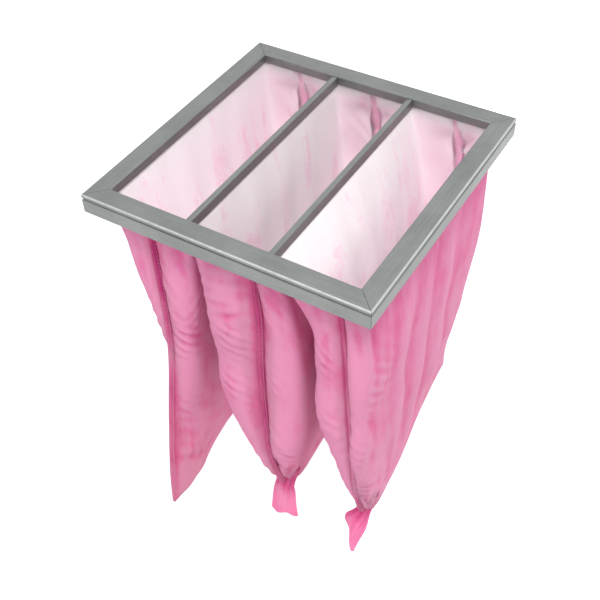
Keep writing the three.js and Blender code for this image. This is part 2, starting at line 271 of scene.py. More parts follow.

# %% [markdown]
# ## Metal finishes
# The header is dull grey-green zinc. Its colour is mixed from the spangle and stains, the roughness from the
# rolling lines, and a painted highlight lightens the outer edge. The rails along x and along y take the same
# finish with the lines turned. The thin strips and keys are a little darker.

# %% Galvanised finishes
# colour of the painted highlight on the header's outer edge
EDGE_HIGHLIGHT_COLOUR = (0.72, 0.74, 0.73)
SPANGLE_SHARE = 0.16
STAIN_SHARE = 0.35
STAIN_DEPTH = 0.8


def galvanised(name, stretch, base, light, dark, rough):
    """A zinc finish with its rolling lines along the strip."""
    material, tree, shader = new_material(name)
    zinc = place_group(tree, ROLLED_ZINC, Stretch=stretch, Spangle_Size=150.0)
    edge = place_group(tree, PAINTED_EDGE_HIGHLIGHT, Half_Width=HALF_HEADER, Band=1.8 * MM)
    streaks = ramp(tree, zinc.outputs["Lines"], [(0.3, dark), (0.5, base), (0.72, light)])
    spangle = ramp(tree, zinc.outputs["Spangle"], [(0.0, dark), (1.0, light)])
    patched = mix_colour(tree, SPANGLE_SHARE, streaks, spangle)
    stain_colour = tuple(STAIN_DEPTH * c for c in base)
    stain = ramp(tree, zinc.outputs["Stain"], [(0.35, stain_colour), (0.65, light)])
    stained = mix_colour(tree, STAIN_SHARE, patched, stain)
    # painted highlight: the outer edge is lightened towards a pale grey
    highlighted = mix_colour(tree, edge.outputs["Highlight"], stained, EDGE_HIGHLIGHT_COLOUR)
    tree.links.new(highlighted, shader.inputs["Base Color"])
    roughness = add(
        tree, "ShaderNodeMapRange", None,
        Value=zinc.outputs["Lines"], From_Min=0.25, From_Max=0.75, To_Min=rough - 0.07, To_Max=rough + 0.1,
    )
    tree.links.new(roughness.outputs[0], shader.inputs["Roughness"])
    shader.inputs["Metallic"].default_value = 0.75
    bump = add(tree, "ShaderNodeBump", None, Height=zinc.outputs["Lines"], Strength=0.12, Distance=0.00025)
    tree.links.new(bump.outputs[0], shader.inputs["Normal"])
    return material


ALONG_X = (14.0, 1100.0, 1100.0)
ALONG_Y = (1100.0, 14.0, 1100.0)
RAIL_ZINC = {
    "base": (0.23, 0.243, 0.236), "light": (0.315, 0.33, 0.32), "dark": (0.168, 0.178, 0.173),
    "rough": 0.45,
}
STRIP_ZINC = {
    "base": (0.21, 0.222, 0.216), "light": (0.285, 0.3, 0.29), "dark": (0.155, 0.165, 0.16),
    "rough": 0.5,
}
ZINC_X = galvanised("galvanised_along_x", ALONG_X, **RAIL_ZINC)
ZINC_Y = galvanised("galvanised_along_y", ALONG_Y, **RAIL_ZINC)
STRIP_X = galvanised("strip_along_x", ALONG_X, **STRIP_ZINC)
STRIP_Y = galvanised("strip_along_y", ALONG_Y, **STRIP_ZINC)
print("metal finishes made")

# %% [markdown]
# Every metal node keeps its shape from the model and only takes a finish. A rail's lines must run along
# the rail, so the front and back ones take the finish along x, and the others, with the bars, along y.

# %% Put the finishes on the metal nodes
def finish_node(name, material):
    """Gives a CAD node its finish, and leaves its shape alone."""
    piece = nodes[name]
    piece.data.materials.clear()
    piece.data.materials.append(material)


for side in ("front", "back"):
    finish_node(f"rail_{side}", ZINC_X)
    finish_node(f"clamp_strip_{side}", STRIP_X)
for side in ("left", "right"):
    finish_node(f"rail_{side}", ZINC_Y)
    finish_node(f"clamp_strip_{side}", STRIP_Y)
for number in (1, 2):
    finish_node(f"pocket_bar_{number}", ZINC_Y)
for corner in ("front_left", "front_right", "back_right", "back_left"):
    finish_node(f"corner_key_{corner}", STRIP_X)
print("metal nodes finished")

# %% [markdown]
# ## Cloth finishes
# The cloth has two faces. The outside is pink: pale and greyish on the ridges, as painted light, and deep in
# the hollows, as painted shade. The inside is nearly white, with painted pink shade in the creases. Each
# vertex carries a value of painted fold shade, worked out from the finished shape, that steers both. Thin
# cloth also lets light through, so a Translucent BSDF is mixed in with the Principled one. A painted shading
# by height shifts the colour with the depth: towards the bottom the inside grows pinker, as painted shade
# deep in the pocket, and the outside a little paler, as painted light on the bags' lower parts.

# %% Cloth finishes
COLOUR_SHIFTS = (("Clouds", 0.55), ("Streaks", 1.0), ("Mottle", 0.35))


def cloth(name, pale, mid, deep, through, share, bump_strength, painted_height_shade=0.0):
    """A two-shader cloth: what it sends back, and the share of light that it lets through."""
    material, tree, shader = new_material(name)
    fibres = place_group(tree, CLOTH_FIBRES, Fibre_Scale=1100.0, Cloud_Scale=26.0)
    # painted fold shade: deeper colour in the cloth's hollows, paler on its ridges
    value = add(tree, "ShaderNodeAttribute", {"attribute_name": "fold_shade"}).outputs["Fac"]
    for layer, strength in COLOUR_SHIFTS:
        off_mean = math_node(tree, "SUBTRACT", fibres.outputs[layer], 0.5)
        value = math_node(tree, "MULTIPLY_ADD", off_mean, strength, value)
    place = add(tree, "ShaderNodeTexCoord").outputs["Object"]
    height = add(tree, "ShaderNodeSeparateXYZ", None, Vector=place)
    # painted light and shade by height: the outside grows paler lower down, the inside pinker deeper in the
    # pocket
    deeper = math_node(tree, "MULTIPLY_ADD", height.outputs["Z"], -painted_height_shade, value)
    colour = ramp(tree, deeper, [(0.12, pale), (0.5, mid), (0.9, deep)])
    tree.links.new(colour, shader.inputs["Base Color"])
    shader.inputs["Roughness"].default_value = 0.92
    shader.inputs["Specular IOR Level"].default_value = 0.18
    shader.inputs["Sheen Weight"].default_value = 0.25
    shader.inputs["Sheen Roughness"].default_value = 0.55
    bump = add(
        tree, "ShaderNodeBump", None,
        Height=fibres.outputs["Height"], Strength=bump_strength, Distance=0.0006,
    )
    tree.links.new(bump.outputs[0], shader.inputs["Normal"])
    let_through = add(tree, "ShaderNodeBsdfTranslucent", None, Normal=bump.outputs[0])
    tree.links.new(mix_colour(tree, 0.5, colour, through), let_through.inputs["Color"])
    mix_shaders(tree, share, shader, let_through, tree.nodes["Material Output"].inputs["Surface"])
    return material


OUTSIDE = cloth(
    "cloth_outside", pale=(0.84, 0.45, 0.62), mid=(0.82, 0.24, 0.47), deep=(0.66, 0.06, 0.28),
    through=(0.99, 0.3, 0.62), share=0.5, bump_strength=0.35, painted_height_shade=-0.7,
)
INSIDE = cloth(
    "cloth_inside", pale=(0.98, 0.975, 0.98), mid=(0.98, 0.955, 0.97), deep=(0.96, 0.6, 0.76),
    through=(0.99, 0.85, 0.92), share=0.16, bump_strength=0.3, painted_height_shade=0.9,
)
THREAD = cloth(
    "seam_thread", pale=(0.78, 0.3, 0.48), mid=(0.68, 0.14, 0.34), deep=(0.55, 0.06, 0.24),
    through=(0.9, 0.3, 0.5), share=0.1, bump_strength=0.1,
)
print("cloth finishes made")

# %% [markdown]
# ## The pockets
# Each pocket is one cloth folded over and sewn up at both ends. Its mouth is held open as a rectangle,
# and it closes towards the bottom fold. The way each one hangs is given at six levels of its depth:
# where the left edge, the seam and the right edge of each end are, as shares of the mouth's half width,
# and in millimetres how far the corners are tucked in, how far the seam reaches out and how far the
# cloth bulges beside it. The droop is how much further down a corner hangs, also in millimetres. The
# solids follow the same forms, so the cloth starts in the space that the solids hold.

# %% How each pocket hangs
LEVELS = [0, 0.14, 0.42, 0.7, 0.9, 1]
FLAT = [0, 0, 0, 0, 0, 0]
HANGS = {
    "pocket_left": {
        "front": {
            "left": [-1, -0.56, 0.06, 0.1, 0.14, 0.2], "seam": [0, 0.12, 0.32, 0.28, 0.22, 0.24],
            "right": [1, 0.95, 0.75, 0.5, 0.3, 0.28], "tuck": FLAT, "reach": [0, 2, 14, 32, 44, 50],
            "lobe": [0, 5, 6, 4, 1, 0], "droop": 28, "corner": 0.4,
        },
        "back": {
            "left": [-1, -0.95, -0.7, -0.35, -0.05, 0.06], "seam": [0, 0, 0.02, 0.05, 0.06, 0.08],
            "right": [1, 0.95, 0.75, 0.45, 0.18, 0.1], "tuck": FLAT, "reach": [0, 3, 10, 18, 26, 30],
            "lobe": [0, 4, 6, 4, 1, 0], "droop": 16, "corner": 0.9,
        },
        "phase": 0.4,
    },
    "pocket_middle": {
        "front": {
            "left": [-1, -0.72, -0.56, -0.25, 0.45, 0.9], "seam": [0.5, 0.7, 0.7, 0.84, 0.92, 0.94],
            "right": [1, 1.4, 1.6, 1.45, 1.15, 1.0], "tuck": [0, 0, 0, 2, 8, 12],
            "reach": [0, 2, 6, 14, 14, 10], "lobe": [0, 5, 9, 8, 3, 0], "droop": -26, "corner": 0.9,
        },
        "back": {
            "left": [-1, -0.9, -0.6, -0.2, 0.2, 0.4], "seam": [0, 0.08, 0.2, 0.32, 0.38, 0.42],
            "right": [1, 1.05, 1.0, 0.8, 0.55, 0.46], "tuck": FLAT, "reach": [0, 3, 10, 18, 26, 30],
            "lobe": [0, 4, 6, 4, 1, 0], "droop": 12, "corner": 0.9,
        },
        "phase": 1.7,
    },
    "pocket_right": {
        "front": {
            "left": [-1, -0.1, 0.1, 0.52, 0.84, 0.92], "seam": [0.5, 0.7, 0.88, 1.0, 1.0, 0.95],
            "right": [1, 1.08, 1.14, 1.14, 1.06, 1.0], "tuck": [0, 0, 0, 4, 16, 26],
            "reach": [0, 2, 6, 10, 10, 8], "lobe": [0, 5, 8, 7, 3, 0], "droop": -18, "corner": 0.9,
        },
        "back": {
            "left": [-1, -0.7, -0.35, 0.0, 0.25, 0.38], "seam": [0.1, 0.25, 0.35, 0.4, 0.42, 0.42],
            "right": [1, 0.98, 0.88, 0.72, 0.52, 0.46], "tuck": [0, 0, 0, 1, 3, 5],
            "reach": [0, 3, 6, 6, 5, 4], "lobe": [0, 4, 6, 4, 1, 0], "droop": 4, "corner": 0.9,
        },
        "phase": 3.1,
    },
}
POCKET_DEPTH = 355 * MM
MOUTH_OUT = 16.3 * MM
LEAST_OPEN = CLOTH
FOLD_DEPTH = 2.6 * MM
FOLDS_PER_SIDE = 5

print("hangs given for", ", ".join(HANGS))

# %% [markdown]
# Between the six levels a smooth curve runs through the values. It is the same curve as in the model's
# source, which reads its pockets in this way too.

# %% Read a value between the levels
def reading(values, share):
    """A smooth curve through the values at LEVELS, read at each share of the depth."""
    levels, values = np.array(LEVELS, float), np.array(values, float)
    last = len(levels) - 1
    k = np.clip(np.searchsorted(levels, share, side="right"), 1, last)
    before = np.where(k > 1, k - 2, k)
    after = np.where(k < last, k + 1, k - 1)
    half = 0.5 * (levels[k] - levels[k - 1])
    pull_before = half / (levels[k - 1] - levels[before])
    pull_after = half / (levels[after] - levels[k])
    t = (share - levels[k - 1]) / (levels[k] - levels[k - 1])
    upper = (1 + pull_before) * t**3 - (1.5 + 2 * pull_before) * t**2 + (pull_before - 0.5) * t + 1
    lower = -(1 + pull_after) * t**3 + (1.5 + pull_after) * t**2 + 0.5 * t
    return (
        (-pull_before * t**3 + 2 * pull_before * t**2 - pull_before * t) * values[before]
        + upper * values[k - 1]
        + lower * values[k]
        + (pull_after * t**3 - pull_after * t**2) * values[after]
    )


halfway = float(reading(HANGS["pocket_left"]["front"]["reach"], np.array(0.5)))
print("the left bag's front seam reaches out by", round(halfway, 1), "mm half way down")

# %% [markdown]
# A point of the cloth is named by five numbers: which panel it is in, how far along the pocket it is,
# how far it has risen from the seam to the mouth's corner, whether it is out on the seam's cut edge,
# and its share of the depth. The next cell turns them into a place, for a whole array of points at once.

# %% From cloth numbers to a place
def mouth_of(name):
    """The mouth's middle, its half width and its half length, out to the cloth's outer face."""
    outside = HALF_HEADER - MOUTH_OUT
    bars = [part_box(f"pocket_bar_{number}") for number in (1, 2)]
    middles = [0.5 * (bar[0][0] + bar[1][0]) for bar in bars]
    gap = 0.15 * MM
    edges = {
        "pocket_left": (-outside, middles[0] - gap),
        "pocket_middle": (middles[0] + gap, middles[1] - gap),
        "pocket_right": (middles[1] + gap, outside),
    }[name]
    return 0.5 * sum(edges), 0.5 * (edges[1] - edges[0]), outside


def place_on(name, side, along, rise, fin, share):
    """Where the cloth hangs: side is 1 for the right panel and -1 for the left one."""
    hang = HANGS[name]
    middle, half, half_length = mouth_of(name)
    ends = (hang["front"], hang["back"])

    def blend(key):
        return (1 - along) * reading(ends[0][key], share) + along * reading(ends[1][key], share)

    seam = blend("seam") * half
    edge = np.where(side < 0, blend("left"), blend("right")) * half
    openness = np.maximum(side * (edge - seam), LEAST_OPEN)
    rounded = np.minimum(1, 4 * share)
    bow = (1 - rounded) * rise + rounded * np.sin(rise * np.pi / 2)
    spread = np.maximum(openness * bow, LEAST_OPEN * (1 + 0.5 * rise))
    wave = np.cos(2 * np.pi * FOLDS_PER_SIDE * along + hang["phase"] * (side + 2) + 1.5 * share)
    fold = np.where(rise < 1, 0, FOLD_DEPTH * wave * np.sin(np.pi * share) * np.sin(np.pi * along))
    x = middle + seam + side * spread + fold
    tuck_front, tuck_back = (reading(end["tuck"], share) * MM for end in ends)
    y = (1 - along) * (tuck_front - half_length) + along * (half_length - tuck_back)
    stands = blend("reach") * MM + fin * SEAM_WIDTH * np.clip(8 * share, 0.1, 1)
    bulge = blend("lobe") * MM * np.sin(np.pi * rise)
    y = y + np.where(along < 0.5, -1, 1) * np.where(rise < 1, stands * (1 - rise) ** 1.4 + bulge, 0)
    droop = np.where(along < 0.5, ends[0]["droop"], ends[1]["droop"]) * MM * share**3
    corner = np.where(along < 0.5, ends[0]["corner"], ends[1]["corner"])
    droop = droop * np.abs(2 * along - 1) ** 5 * (1 + (corner - 1) * rise)
    z = HEM_BOTTOM - share * (POCKET_DEPTH + BAR_BOTTOM + droop)
    return np.stack([x, y, z], -1)


print("mouths:", {name: [round(v, 4) for v in mouth_of(name)] for name in HANGS})

# %% [markdown]
# The cloth starts as a closed sleeve of square cells about 3 mm wide, fine enough for a pucker. Each
# ring goes from the front seam's cut edge round the right panel to the back one, and returns along the
# left panel. The last ring is joined across, which makes the bottom fold.

# %% The sleeve's grid
END_CELLS = 13
SIDE_CELLS = 84
ROWS = 112
HEM_ROWS = 3


def panel_columns():
    """How far along, how far risen, and 1 on a seam's cut edge, for each column of a panel."""
    risen = np.linspace(0, 1, END_CELLS + 1)
    alongs = np.arange(1, SIDE_CELLS) / SIDE_CELLS
    along = np.concatenate([[0], np.zeros(END_CELLS + 1), alongs, np.ones(END_CELLS + 1), [1]])
    rise = np.concatenate([[0], risen, np.ones(SIDE_CELLS - 1), risen[::-1], [0]])
    fin = np.concatenate([[1], np.zeros(2 * END_CELLS + SIDE_CELLS + 1), [1]])
    return along, rise, fin


ALONG, RISE, FIN = panel_columns()
PANEL = len(ALONG)
SHARES = np.concatenate([np.zeros(HEM_ROWS), np.linspace(0, 1, ROWS + 1)])
print("columns a panel:", PANEL, "rings:", len(SHARES), "points:", 2 * PANEL * len(SHARES))

# %% [markdown]
# **What sewing does to cloth.** A seam is sewn under tension, so the cloth beside it puckers in short
# ripples. Where a corner is gathered, folds fan out from it. And the stiff mat buckles in a few long
# creases of its own. All of them are worked out on the flat cloth, from how far a point is from the
# seams, the hem and the bottom fold, in metres. Three small wave shapes serve them all.

# %% Wave shapes
def ripple(phase):
    """A rounded ripple between about 0.1 and 1, with narrow valleys."""
    return np.sqrt(np.abs(np.sin(phase)) + 0.02)


def swell(phase):
    """A soft ripple between 0 and 1, as wide in its valleys as on its ridges."""
    return 0.5 - 0.5 * np.cos(2 * phase)


def wander(a, b, seed):
    """A slow, repeatable wandering between about -1 and 1 over two distances in metres."""
    total = np.zeros_like(a)
    for k, (u, v) in enumerate([(23, 11), (9, -31), (-41, 17), (57, 29)]):
        total += np.sin(u * a + v * b + seed * (k + 1.3)) / (k + 1.5)
    return total / 1.6


SEEDS = {"pocket_left": 1.1, "pocket_middle": 2.3, "pocket_right": 4.2}
print("wave shapes ready for", len(SEEDS), "pockets")

# %% [markdown]
# **Patches of wrinkles.** The photograph shows short slanted wrinkles in a few places of each bag and
# smooth cloth between them. Each patch is listed with its panel, its place below the hem and from the
# front seam, its height and width, and its wrinkles' spacing, slope and depth. All but the panel and
# the slope are in millimetres.

# %% Patches of wrinkles
WRINKLES = {
    "pocket_left": [
        (1, 150, 18, 34, 26, 13, 0.5, 2.4), (1, 105, 45, 30, 22, 15, -0.8, 1.6),
        (1, 250, 20, 26, 20, 14, 0.9, 1.5),
    ],
    "pocket_middle": [
        (-1, 118, 16, 26, 16, 12, -0.7, 2.6), (-1, 185, 22, 22, 18, 13, -0.5, 1.8),
        (1, 150, 10, 30, 10, 13, 0.9, 1.8), (1, 262, 20, 26, 22, 13, 0.8, 2.0),
        (-1, 60, 22, 26, 18, 15, 0.6, 1.6),
    ],
    "pocket_right": [
        (-1, 92, 26, 22, 14, 12, -0.8, 2.6), (-1, 170, 18, 26, 16, 13, -0.6, 1.6),
        (1, 210, 20, 30, 18, 13, 0.8, 1.8), (1, 285, 24, 24, 24, 12, 0.9, 2.4),
        (1, 130, 60, 34, 30, 17, 1.2, 1.4),
    ],
}
WRINKLE_GAIN = 1.5


def wrinkled(name, side, from_front, from_hem):
    """How far the patches of one panel push the cloth outwards, in metres."""
    total = np.zeros_like(from_front)
    for on_side, hem, front, tall, wide, spacing, slope, depth in WRINKLES[name]:
        if on_side != side:
            continue
        patch = np.exp(-(((from_hem / MM - hem) / tall) ** 2) - ((from_front / MM - front) / wide) ** 2)
        slanted = np.pi * (from_hem - slope * from_front) / (spacing * MM)
        wave = slanted + 1.2 * wander(2 * from_hem, from_front, hem)
        total += WRINKLE_GAIN * depth * MM * (0.5 * ripple(wave) + 0.5 * swell(wave)) * patch
    return total


print("patches of wrinkles:", {name: len(patches) for name, patches in WRINKLES.items()})

# %% [markdown]
# **Loose folds and sewn creases.** The long loose folds are given to the cloth before it is hung in the
# simulation. The puckers, the gathers and the wrinkles come after it, because hanging would iron them
# out. Both kinds fade next to the front seam, so that the sewn edge itself stays a clean line.

# %% Loose folds and sewn creases
LOOSE_FOLD = 2.8 * MM
TUCK_IN = 5 * MM
PUCKER = 2.2 * MM
PUCKER_SPACING = 0.021
FINE_PUCKER = 0.4 * MM
FINE_SPACING = 0.009
GATHER = 3.4 * MM
GATHERED = {"pocket_left": 0.45, "pocket_middle": 1.0, "pocket_right": 1.0}


def clear_of_seam(from_front):
    """A factor that fades from 1 to 0.1 within a few millimetres of the front seam."""
    return 1 - 0.9 * np.exp(-((from_front / 0.007) ** 2))


def loose_folds(name, side, from_front, from_back, from_hem, from_fold):
    """How far the cloth stands out in its long loose folds, in metres."""
    seed = SEEDS[name] + 0.7 * side
    drape = ripple(np.pi * (from_front + 0.008 * wander(from_hem, from_front, seed + 5)) / 0.022 + seed)
    drape = LOOSE_FOLD * drape * np.exp(-(((from_hem - 0.055) / 0.05) ** 2))
    drape = drape * np.clip(1.2 - from_front / 0.045, 0, 1)
    slow = LOOSE_FOLD * (1 + wander(0.8 * from_front, 1.7 * from_hem, seed + 9))
    slow = slow * np.clip(from_hem / 0.08, 0, 1)
    tuck_in = TUCK_IN * np.exp(-((from_back / 0.02) ** 2)) * np.exp(-(((from_hem - 0.035) / 0.018) ** 2))
    return (drape + slow) * clear_of_seam(from_front) + tuck_in


def sewn_creases(name, side, from_front, from_back, from_hem, from_fold):
    """How far sewing and gathering push the cloth outwards, in metres."""
    seed = SEEDS[name] + 0.7 * side
    below = np.clip(from_hem / 0.05, 0, 1)
    near = np.exp(-((from_front / 0.03) ** 2)) + np.exp(-((from_back / 0.024) ** 2))
    slant = 1.2 * from_front + 0.006 * wander(from_hem, from_front, seed)
    patchy = np.clip(0.25 + 1.3 * wander(1.3 * from_hem, 0.8 * from_front, seed + 2), 0.08, 1.1)
    uneven = 1.6 * wander(1.6 * from_hem, 0.9 * from_front, seed + 7)
    pucker = PUCKER * swell(np.pi * (from_hem - slant) / PUCKER_SPACING + seed + uneven)
    pucker = pucker * near * below * patchy
    fine = FINE_PUCKER * swell(np.pi * (from_hem + slant) / FINE_SPACING + uneven)
    fine = fine * np.exp(-from_front / 0.009) * below
    turn = np.arctan2(from_front, from_fold + 0.004)
    away = np.hypot(from_front, from_fold)
    fan = ripple(7.5 * turn + 1.2 * wander(away, turn, seed))
    gather = GATHER * fan * np.exp(-(((away - 0.035) / 0.045) ** 2)) * GATHERED[name]
    gather = gather * np.clip(away / 0.02 - 0.3, 0, 1)
    wrinkle = wrinkled(name, side, from_front, from_hem)
    return (pucker + fine + gather + wrinkle) * clear_of_seam(from_front)


print("deepest pucker", round(PUCKER / MM, 1), "mm, deepest gather", round(GATHER / MM, 1), "mm")

# %% [markdown]
# **Distances on the flat cloth.** The folds and creases need to know where a point was on the cloth
# before it was hung. The columns and rings have known steps, so their sums give the four distances.

# %% Distances on the flat cloth
def hem_heights(name):
    """Heights of the rows that are clamped in the header."""
    return np.linspace(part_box(name)[1][2], HEM_BOTTOM, HEM_ROWS, endpoint=False)


def flat_distances(name):
    """Distances on the flat cloth: from the front seam, the back seam, the hem and the fold."""
    _, half, half_length = mouth_of(name)
    rings_z = np.concatenate([hem_heights(name), HEM_BOTTOM - SHARES[HEM_ROWS:] * POCKET_DEPTH])
    step = np.where(RISE[1:] + RISE[:-1] < 2, half / END_CELLS, 2 * half_length / SIDE_CELLS)
    step[[0, -1]] = 0
    across = np.concatenate([[0], np.cumsum(step)])
    down = rings_z[0] - rings_z
    front = np.broadcast_to(across, (len(rings_z), PANEL))
    hem = np.broadcast_to(down[:, None], front.shape)
    return front, across[-1] - front, hem, down[-1] - hem


widest = max(float(flat_distances(name)[0].max()) for name in HANGS)
print("a panel is", round(widest, 3), "m wide between its seams")

# %% [markdown]
# **One sleeve.** The rings are placed, the hem's rows are set level where the clamp holds them, and the
# loose folds push the cloth out along its own normals.

# %% Place one sleeve
def sleeve(name):
    """The places of a pocket's rings, as an array of ring, column (right panel, then left) and axis."""
    share = SHARES[:, None] * np.ones(PANEL)
    panels = []
    for side in (1, -1):
        places = place_on(name, side, ALONG, RISE, FIN, share)
        places[:HEM_ROWS, :, 2] = hem_heights(name)[:, None]
        panels.append(places)
    return pushed(name, np.concatenate(panels, axis=1), loose_folds)


def pushed(name, rings, amount):
    """The rings pushed outwards by an amount that fades at the hem and leaves the seams' edges alone."""
    panels = []
    for side, places in ((1, rings[:, :PANEL]), (-1, rings[:, PANEL:])):
        push = amount(name, side, *flat_distances(name)) * (1 - FIN) * np.clip(SHARES[:, None] * 14, 0, 1)
        panels.append(places + out_direction(places, side) * push[..., None])
    return np.concatenate(panels, axis=1)


def out_direction(places, side):
    """Unit normals of a panel's grid, pointing out of the pocket."""
    down = np.gradient(places, axis=0)
    across = np.gradient(places, axis=1)
    out = np.cross(down, across) * side
    length = np.linalg.norm(out, axis=-1, keepdims=True)
    return out / np.maximum(length, 1e-12)


RINGS = {name: sleeve(name) for name in HANGS}
print("sleeves placed:", {name: rings.shape for name, rings in RINGS.items()})

# %% [markdown]
# **From rings to a mesh.** Neighbouring rings are joined by quads, which the gathered corners and the
# stitches need too. The same quads serve all three sleeves. A face's inner side takes the finish one
# slot further on, so the slots are pairs of an outside and its lining: pale in most places, and pink
# where the sewn edges turn out.

# %% Faces and meshes
def ring_quads(order, rings, start=0):
    """Quads between rings of points, given one ring's points in the order in which they are joined."""
    order = list(order)
    count = len(order)
    return [
        (at + a, at + count + a, at + count + b, at + b)
        for at in range(start, start + (rings - 1) * count, count)
        for a, b in zip(order, order[1:] + order[:1])
    ]


def sleeve_faces():
    """Quads of the closed sleeve, with the bottom fold joined across."""
    faces = ring_quads([*range(PANEL), *range(2 * PANEL - 1, PANEL - 1, -1)], len(SHARES))
    last = (len(SHARES) - 1) * 2 * PANEL
    for k in range(last, last + PANEL - 1):
        faces.append((k, k + PANEL, k + PANEL + 1, k + 1))
    return faces


def new_piece(name, vertices, faces, materials):
    """A mesh object from lists, smooth shaded."""
    mesh = bpy.data.meshes.new(name)
    mesh.from_pydata([tuple(map(float, v)) for v in vertices], [], faces)
    mesh.update()
    mesh.shade_smooth()
    for material in materials:
        mesh.materials.append(material)
    piece = bpy.data.objects.new(name, mesh)
    bpy.context.scene.collection.objects.link(piece)
    return piece


PALE_LINED, PINK_LINED = 0, 2
SLOTS = [OUTSIDE, INSIDE, OUTSIDE, OUTSIDE]
FACES = sleeve_faces()
print("quads in a sleeve:", len(FACES))

# %% [markdown]
# **Letting the cloth hang.** The hem is pinned, as the clamp holds it, and the seams and the bottom
# fold are held softly, so that each bag keeps the lean seen in the photograph. The cloth is given a
# little more length than the shape has room for, and a slight pressure as from the air. A few frames of
# Blender's cloth turn that slack into soft folds. The shift is then smoothed over a few cells and
# capped at a few millimetres, so that a bag stays where it was placed.

# %% Settings and pins of the simulation
SIM_FRAMES = 18
MOST_MOVE = 6 * MM
CLOTH_SETTINGS = {
    "quality": 5, "mass": 0.2, "tension_stiffness": 20, "compression_stiffness": 20,
    "shear_stiffness": 8, "bending_stiffness": 4, "shrink_min": -0.005,
    "vertex_group_mass": "held", "pin_stiffness": 1.0,
    "use_pressure": True, "uniform_pressure_force": 0.15,
}
HELD_CLOTH, HELD_SEAM, HELD_FOLD, HELD_HEM = 0.15, 0.7, 0.8, 1.0


def weight_group(piece, name, weights):
    """A vertex group with one weight a vertex."""
    group = piece.vertex_groups.new(name=name)
    for weight in np.unique(weights):
        group.add([int(v) for v in np.flatnonzero(weights.ravel() == weight)], float(weight), "REPLACE")


def pin_weights():
    """How firmly each point is held: fully at the hem, and softly in the open cloth."""
    weights = np.full((len(SHARES), 2 * PANEL), HELD_CLOTH)
    near_edge = [0, 1, PANEL - 2, PANEL - 1]
    weights[:, near_edge + [PANEL + k for k in near_edge]] = HELD_SEAM
    weights[-2:] = HELD_FOLD
    weights[: HEM_ROWS + 1] = HELD_HEM
    return weights


print("simulation of", SIM_FRAMES, "frames, no point moves more than", round(MOST_MOVE / MM, 1), "mm")

# %% [markdown]
# The three bags are hung together. Each run starts from the same shape with the same settings, and
# nothing in it is random.

# %% Simulate the pockets' cloth
def hang_cloth(pieces):
    """Runs Cloth on the pieces together and returns their new places."""
    for piece in pieces:
        weight_group(piece, "held", pin_weights())
        modifier = piece.modifiers.new("Cloth", "CLOTH")
        for key, value in CLOTH_SETTINGS.items():
            setattr(modifier.settings, key, value)
        modifier.settings.effector_weights.gravity = 0.2
        modifier.collision_settings.use_collision = False
        modifier.point_cache.frame_end = SIM_FRAMES
    scene = bpy.context.scene
    for moment in range(1, SIM_FRAMES + 1):
        scene.frame_set(moment)
    graph = bpy.context.evaluated_depsgraph_get()
    moved = []
    for piece in pieces:
        mesh = piece.evaluated_get(graph).data
        places = np.empty(len(mesh.vertices) * 3)
        mesh.vertices.foreach_get("co", places)
        moved.append(places.reshape(len(SHARES), 2 * PANEL, 3))
    for piece in pieces:
        piece.modifiers.clear()
    scene.frame_set(1)
    return moved


def blur(values, times):
    """Means over neighbouring grid points, ring and column."""
    for _ in range(times):
        down = np.concatenate([values[:1], values, values[-1:]])
        values = 0.25 * down[:-2] + 0.5 * values + 0.25 * down[2:]
        across = np.concatenate([values[:, :1], values, values[:, -1:]], axis=1)
        values = 0.25 * across[:, :-2] + 0.5 * values + 0.25 * across[:, 2:]
    return values


def capped(start, moved):
    """The moved places, smoothed over a few cells and none further than the cap from its start."""
    shift = moved - start
    shift = np.concatenate([blur(shift[:, :PANEL], 4), blur(shift[:, PANEL:], 4)], axis=1)
    length = np.linalg.norm(shift, axis=-1, keepdims=True)
    middle, most = float(np.median(length)) / MM, float(length.max()) / MM
    print("moved by", round(middle, 2), "mm, at most", round(most, 1))
    return start + shift * np.minimum(1, MOST_MOVE / np.maximum(length, 1e-9))


PIECES = {name: new_piece(f"{name}_cloth", RINGS[name].reshape(-1, 3), FACES, SLOTS) for name in HANGS}
for name, moved in zip(HANGS, hang_cloth(list(PIECES.values()))):
    RINGS[name] = capped(RINGS[name], moved)
RINGS = {name: pushed(name, rings, sewn_creases) for name, rings in RINGS.items()}
print("pockets hung:", len(PIECES))

# %% [markdown]
# **Keeping panels apart.** The cloth of one bag has two panels that may touch but not cross, so each
# pair of opposite points is kept at least twice the cloth's thickness apart. Neighbouring bags hang
# close together too. A ray sideways from each point finds the next bag, and holds the point back.

# %% Keep panels and bags apart
BAG_GAP = 1.5 * MM
RAY_START = 0.03
RAY_LENGTH = 0.032


def part_panels(rings):
    """Pushes the two panels of a bag apart where they would cross."""
    right, left = rings[:, :PANEL], rings[:, PANEL:]
    lack = np.maximum(2 * LEAST_OPEN - (right[..., 0] - left[..., 0]), 0)
    right[..., 0] += 0.5 * lack
    left[..., 0] -= 0.5 * lack


def part_bags(left_name, right_name):
    """Holds the left bag's right panel back from the right bag's left panel."""
    own, other = RINGS[left_name], RINGS[right_name]
    count = 2 * PANEL
    panel_faces = [face for face in FACES if all(v % count >= PANEL for v in face)]
    tree = BVHTree.FromPolygons([tuple(v) for v in other.reshape(-1, 3)], panel_faces)
    held = 0
    for ring in range(HEM_ROWS + 1, len(SHARES)):
        for column in range(PANEL):
            place = own[ring, column]
            start = Vector((place[0] - RAY_START, place[1], place[2]))
            hit = tree.ray_cast(start, Vector((1, 0, 0)), RAY_LENGTH)
            if hit[0] is not None and hit[0].x < place[0] + BAG_GAP:
                place[0] = hit[0].x - BAG_GAP
                held += 1
    print(left_name, "held back at", held, "points")


for rings in RINGS.values():
    part_panels(rings)
part_bags("pocket_left", "pocket_middle")
part_bags("pocket_middle", "pocket_right")
for name, piece in PIECES.items():
    part_panels(RINGS[name])
    piece.data.vertices.foreach_set("co", RINGS[name].ravel().astype(np.float32))
    piece.data.update()

